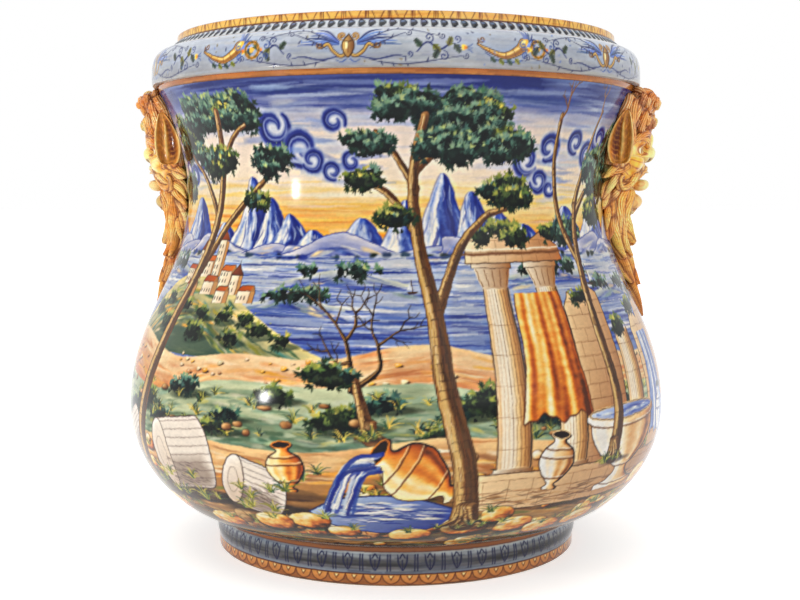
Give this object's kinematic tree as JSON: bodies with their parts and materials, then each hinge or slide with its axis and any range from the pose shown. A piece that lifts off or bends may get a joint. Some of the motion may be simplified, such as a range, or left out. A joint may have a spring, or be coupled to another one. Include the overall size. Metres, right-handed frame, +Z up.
{
  "type": "majolica vase",
  "caption": "Wide footed maiolica cachepot with a swelling belly, drawn-in waist, rolled rim collar and bearded satyr-mask handles.",
  "frame": {"origin": "centre of the foot on the surface that it stands on", "axes": "+Z up the axis of the pot, the masks at +X and -X, the painted front towards -Y"},
  "size_m": [0.4244, 0.4244, 0.4],
  "materials": {
    "foot_glaze": "gloss tin glaze, painted in blue, orange and brown, bare clay under the foot",
    "body_glaze": "gloss tin glaze, painted all round with a landscape, plain white inside",
    "rim_glaze": "gloss bluish-white tin glaze with painted scrollwork, beads and orange bands",
    "mask_glaze": "gloss ochre and orange glaze, brown in the hollows",
    "ear_glaze": "gloss orange glaze, dark maroon in the hollow"
  },
  "bodies": {
    "root": {"foot_ring": "foot_glaze", "lower_bowl": "body_glaze", "upper_wall": "body_glaze", "rim_collar": "rim_glaze", "left_mask": "mask_glaze", "right_mask": "mask_glaze", "left_mask_front_ear": "ear_glaze", "left_mask_back_ear": "ear_glaze", "right_mask_front_ear": "ear_glaze", "right_mask_back_ear": "ear_glaze"}
  },
  "joints": []
}
